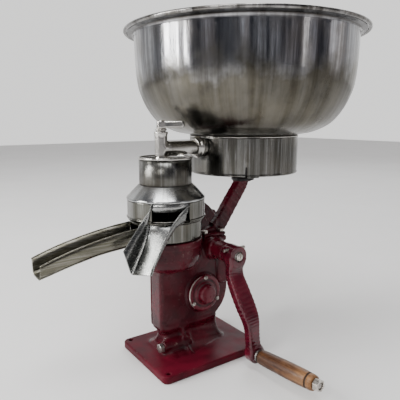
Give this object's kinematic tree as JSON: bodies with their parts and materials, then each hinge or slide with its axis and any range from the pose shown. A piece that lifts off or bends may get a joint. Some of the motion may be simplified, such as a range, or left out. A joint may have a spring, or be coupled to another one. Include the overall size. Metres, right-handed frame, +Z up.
{
  "type": "hand-cranked cream separator",
  "caption": "Table-top hand-cranked cream separator: cast gear frame, worm-driven spinning bowl, float chamber, skim and cream pans with spouts, and a supply can with a tap.",
  "frame": {"origin": "on the bench, at the underside of the base plate, directly below the bowl spindle's axis", "axes": "+Z up along the spindle; +X towards the crank handle, parallel to the crankshaft; +Y towards the supply can; the spouts point towards -Y"},
  "size_m": [0.4265, 0.5315, 0.4843],
  "materials": {
    "maroon_enamel": "glossy maroon enamel on cast iron, dark in the hollows and worn through at edges",
    "arm_enamel": "maroon enamel bar with a black flange",
    "black_enamel": "semi-gloss black enamel",
    "tinware": "polished tinned sheet with soft streaky reflections",
    "bowl_tin": "dull tinned steel",
    "bare_steel": "bare turned steel, lightly tarnished",
    "gear_iron": "oiled cast iron",
    "blackened_steel": "blackened",
    "rubber": "matt",
    "bronze": "oiled bronze",
    "grip_wood": "worn varnish, darker at the crank end"
  },
  "bodies": {
    "stand": {"main_frame": "maroon_enamel", "gear_case": "maroon_enamel", "gear_case_cover": "maroon_enamel", "case_cover_screw_1": "bare_steel", "case_cover_screw_2": "bare_steel", "case_cover_screw_3": "bare_steel", "case_cover_screw_4": "bare_steel", "bearing_cover": "maroon_enamel", "bearing_cover_screw_1": "bare_steel", "bearing_cover_screw_2": "bare_steel", "bearing_cover_screw_3": "bare_steel", "drain_plug": "bare_steel", "footstep_bearing": "bronze", "neck_bearing_ring": "rubber", "neck_bearing_bush": "bronze", "crank_bush_outer": "bronze", "crank_bush_inner": "bronze", "wheel_bush_outer": "bronze", "wheel_bush_inner": "bronze", "can_arm": "arm_enamel", "arm_bolt_1": "bare_steel", "arm_bolt_2": "bare_steel", "can_support_plate": "black_enamel", "support_plate_screw": "bare_steel"},
    "crank": {"crankshaft": "bare_steel", "crank_gear": "gear_iron", "crank_arm": "maroon_enamel", "crank_taper_pin": "bare_steel", "crank_hub_screw": "bare_steel", "grip_spindle": "bare_steel", "grip_washer": "blackened_steel", "grip_end_nut": "bare_steel"},
    "grip": {"wooden_grip": "grip_wood"},
    "wheel_train": {"wheel_shaft": "bare_steel", "drive_pinion": "bare_steel", "worm_wheel": "bronze"},
    "bowl": {"worm_spindle": "bare_steel", "bowl_base": "bare_steel", "bowl_seal_ring": "rubber", "bowl_distributor": "bowl_tin", "bowl_disc_1": "bowl_tin", "bowl_disc_2": "bowl_tin", "bowl_disc_3": "bowl_tin", "bowl_disc_4": "bowl_tin", "bowl_disc_5": "bowl_tin", "bowl_top_disc": "bowl_tin", "bowl_hood": "bare_steel", "bowl_nut": "bronze"},
    "skim_tinware": {"skim_pan": "tinware", "skim_spout": "tinware"},
    "cream_tinware": {"cream_pan": "tinware", "cream_spout": "tinware", "pan_cover": "tinware", "float_chamber": "tinware"},
    "regulator": {"float": "tinware"},
    "can": {"supply_can": "tinware", "can_skirt": "tinware", "tap_body": "tinware", "tap_flange_nut": "tinware"},
    "key": {"tap_key": "tinware"}
  },
  "joints": [
    {"name": "crank_turn", "type": "hinge", "parent": "stand", "child": "crank", "pos_m": [0.05, 0.071, 0.15942], "axis": [1, 0, 0], "continuous": true},
    {"name": "grip_spin", "type": "hinge", "parent": "crank", "child": "grip", "pos_m": [0.112, 0.0824, 0.0204], "axis": [0.9969, 0.0564, 0.0545], "continuous": true},
    {"name": "wheel_spin", "type": "hinge", "parent": "stand", "child": "wheel_train", "pos_m": [0, 0.052, 0.092], "axis": [1, 0, 0], "continuous": true},
    {"name": "bowl_spin", "type": "hinge", "parent": "stand", "child": "bowl", "pos_m": [0, 0, 0.1], "axis": [0, 0, 1], "continuous": true},
    {"name": "skim_swivel", "type": "hinge", "parent": "stand", "child": "skim_tinware", "pos_m": [0, 0, 0.19], "axis": [0, 0, 1], "range_deg": [-25, 5]},
    {"name": "cream_swivel", "type": "hinge", "parent": "stand", "child": "cream_tinware", "pos_m": [0, 0, 0.22], "axis": [0, 0, 1], "range_deg": [-5, 25]},
    {"name": "float_rise", "type": "slide", "parent": "cream_tinware", "child": "regulator", "axis": [0, 0, 1], "range_m": [0, 0.006]},
    {"name": "can_lift", "type": "slide", "parent": "stand", "child": "can", "axis": [0, 0, 1], "range_m": [0, 0.06]},
    {"name": "tap_turn", "type": "hinge", "parent": "can", "child": "key", "pos_m": [0.0009, -0.007, 0.33], "axis": [0, 0, 1], "range_deg": [-90, 0]}
  ],
  "couplings": [
    {"joint": "wheel_spin", "follows": "crank_turn", "ratio": -6},
    {"joint": "bowl_spin", "follows": "crank_turn", "ratio": 120}
  ]
}
